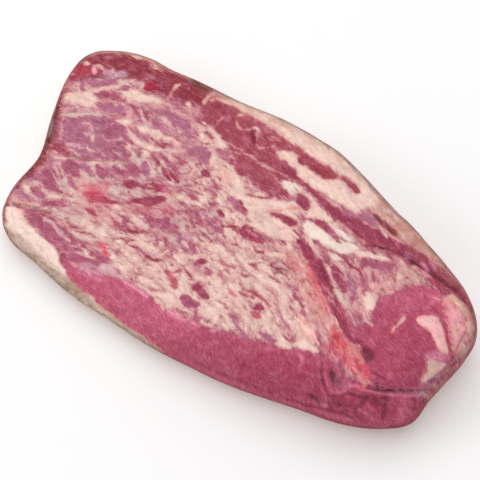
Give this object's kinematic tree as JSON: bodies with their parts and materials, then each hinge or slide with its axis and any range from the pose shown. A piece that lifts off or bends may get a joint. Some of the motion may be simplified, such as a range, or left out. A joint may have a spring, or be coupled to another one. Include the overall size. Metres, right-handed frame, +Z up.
{
  "type": "beef brisket",
  "caption": "Whole raw beef brisket in tight clear shrink film: a long slab of meat, thin at the flat end and thick at the point end, with a flat underside to rest on.",
  "frame": {"origin": "on the table under the middle of the brisket's length and width", "axes": "+X along the brisket from the thin flat end to the thick point end, +Y across it towards the fat rim, +Z up"},
  "size_m": [0.46, 0.25, 0.0881],
  "materials": {
    "raw_beef": "moist raw beef, dark red lean mottled with cream fat",
    "clear_film": "thin clear shrink film, glossy"
  },
  "bodies": {
    "root": {"brisket": "raw_beef"}
  },
  "joints": []
}
